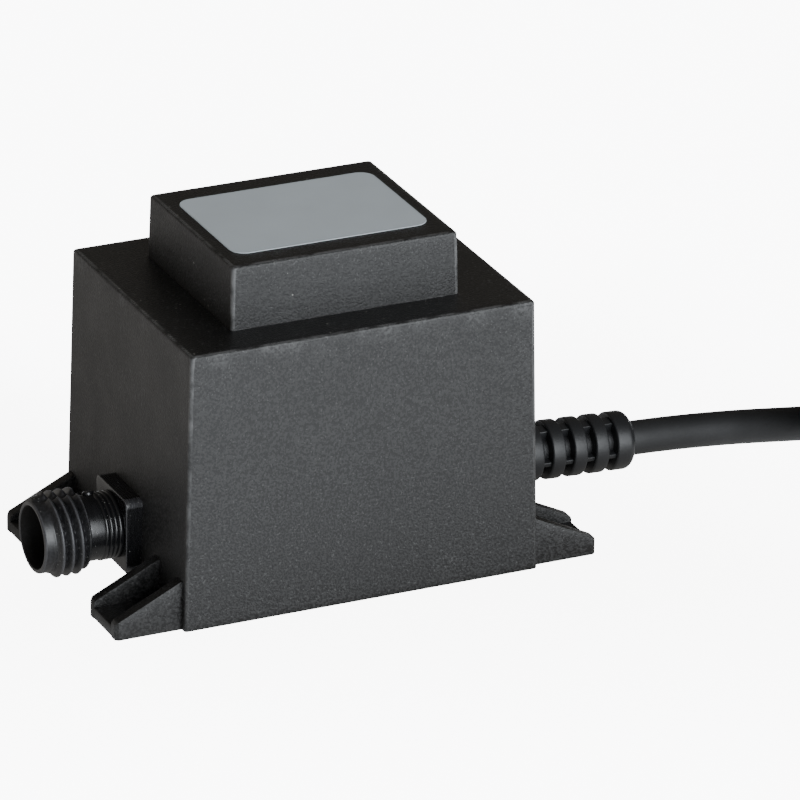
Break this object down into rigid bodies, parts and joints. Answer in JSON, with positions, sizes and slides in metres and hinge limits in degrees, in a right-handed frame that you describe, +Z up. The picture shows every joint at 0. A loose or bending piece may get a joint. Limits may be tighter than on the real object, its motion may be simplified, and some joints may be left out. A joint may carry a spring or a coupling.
{
  "type": "mains transformer",
  "caption": "Potted mains transformer in a ribbed-foot housing with a raised block, threaded round output socket, strain-relieved cord and mains plug.",
  "frame": {"origin": "centre of the four screw holes, on the base plane of the housing", "axes": "+X from the output socket to the mains cord, +Y from the front face to the back face, +Z up"},
  "size_m": [0.2526, 0.1139, 0.0701],
  "materials": {
    "housing_plastic": "fine spark-eroded grain, worn a little lighter on its edges",
    "potting_resin": "cast epoxy, smooth with a slight sheen",
    "label_film": "satin grey film, bare",
    "socket_plastic": "glossy black moulding with a grained flange",
    "carrier_plastic": "moulded black insulator",
    "contact_metal": "turned brass, tin flashed",
    "sleeve_plastic": "shrunk sleeve",
    "relief_rubber": "semi-matte flexible moulding",
    "cord_rubber": "semi-matte flexible sheath",
    "core_steel": "rolled silicon steel with bare cut edges",
    "bobbin_plastic": "natural glass-filled moulding",
    "copper_wire": "enamelled copper wire",
    "yellow_tape": "polyester tape",
    "tinned_pins": "tinned wire",
    "fuse_ceramic": "pale coated case",
    "brown_insulation": "smooth",
    "blue_insulation": "smooth",
    "red_insulation": "smooth",
    "black_insulation": "smooth",
    "tie_plastic": "flat flexible strip",
    "plug_plastic": "semi-matte moulded plug",
    "plug_pin_metal": "nickel-plated"
  },
  "bodies": {
    "root": {"housing": "housing_plastic", "potting_compound": "potting_resin", "rating_label": "label_film", "output_socket": "socket_plastic", "contact_carrier": "carrier_plastic", "output_contacts": "contact_metal", "contact_sleeves": "sleeve_plastic", "strain_relief": "relief_rubber", "cord_sheath_end": "cord_rubber", "core_e_sheets": "core_steel", "core_i_sheets": "core_steel", "bobbin": "bobbin_plastic", "primary_winding": "copper_wire", "secondary_winding": "copper_wire", "primary_tape": "yellow_tape", "secondary_tape": "yellow_tape", "solder_pins": "tinned_pins", "thermal_fuse": "fuse_ceramic", "fuse_sleeve": "sleeve_plastic", "crimp_splice": "tinned_pins", "fuse_leads": "tinned_pins", "mains_core_brown": "brown_insulation", "mains_core_blue": "blue_insulation", "output_lead_red": "red_insulation", "output_lead_black": "black_insulation", "cord_lead": "cord_rubber", "cord_coil": "cord_rubber", "cord_tail": "cord_rubber", "cord_ties": "tie_plastic", "plug_body": "plug_plastic", "plug_pins": "plug_pin_metal"}
  },
  "joints": []
}
